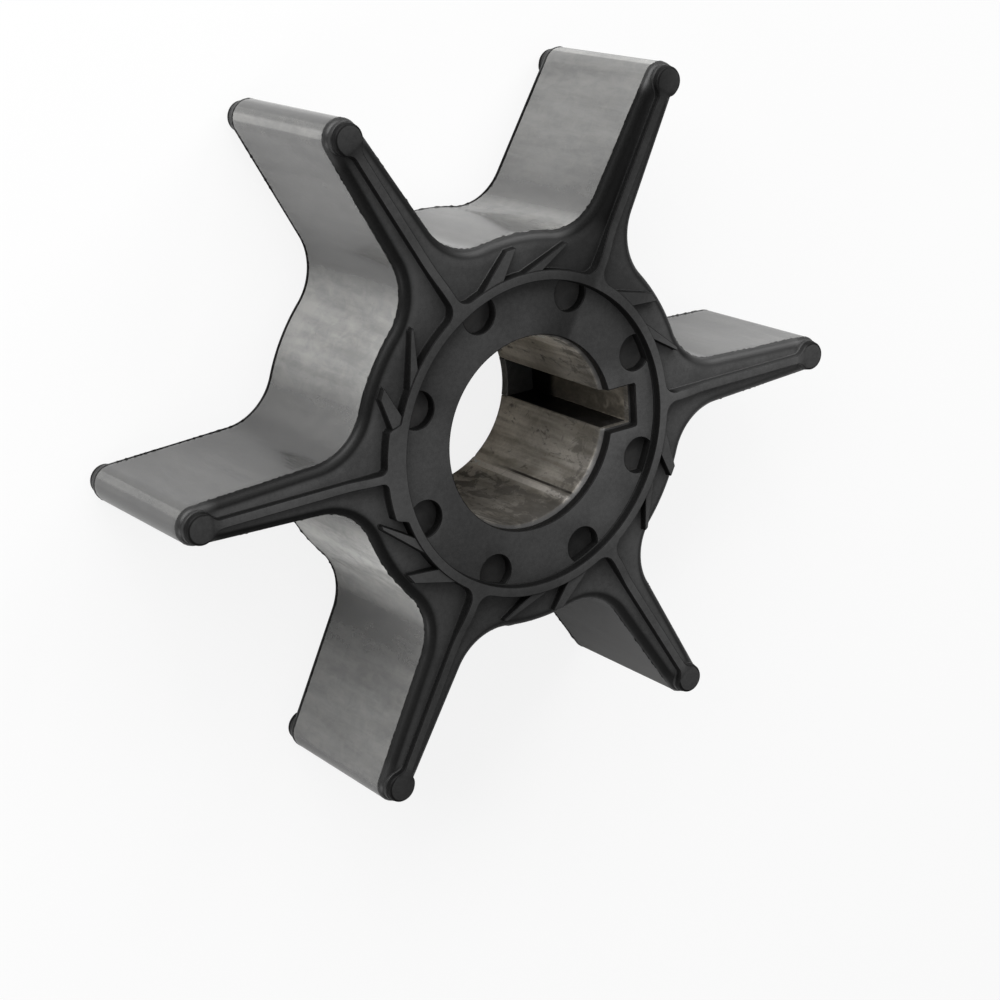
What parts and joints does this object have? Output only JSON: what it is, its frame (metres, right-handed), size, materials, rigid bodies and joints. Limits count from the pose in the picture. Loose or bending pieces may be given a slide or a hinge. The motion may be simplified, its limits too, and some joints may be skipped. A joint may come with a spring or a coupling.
{
  "type": "pump impeller",
  "caption": "Flexible rubber vane wheel for a pump, moulded round a metal hub bush with a keyed bore, with raised ribs and a raised hub ring on both end faces.",
  "frame": {"origin": "on the shaft axis, in the plane of the lower hub ring, which is the lowest plane of the part", "axes": "+Z along the shaft axis towards the end face seen in the picture, +X towards the keyway and the vane in line with it, +Y completes the right-handed frame"},
  "size_m": [0.0568, 0.0496, 0.0149],
  "materials": {
    "impeller_wheel": "satin grey-black moulded rubber, smoother and shinier on the vane sides",
    "hub_bush": "dull mottled grey-brown metal"
  },
  "bodies": {
    "root": {"impeller_wheel": "impeller_wheel", "hub_bush": "hub_bush"}
  },
  "joints": []
}
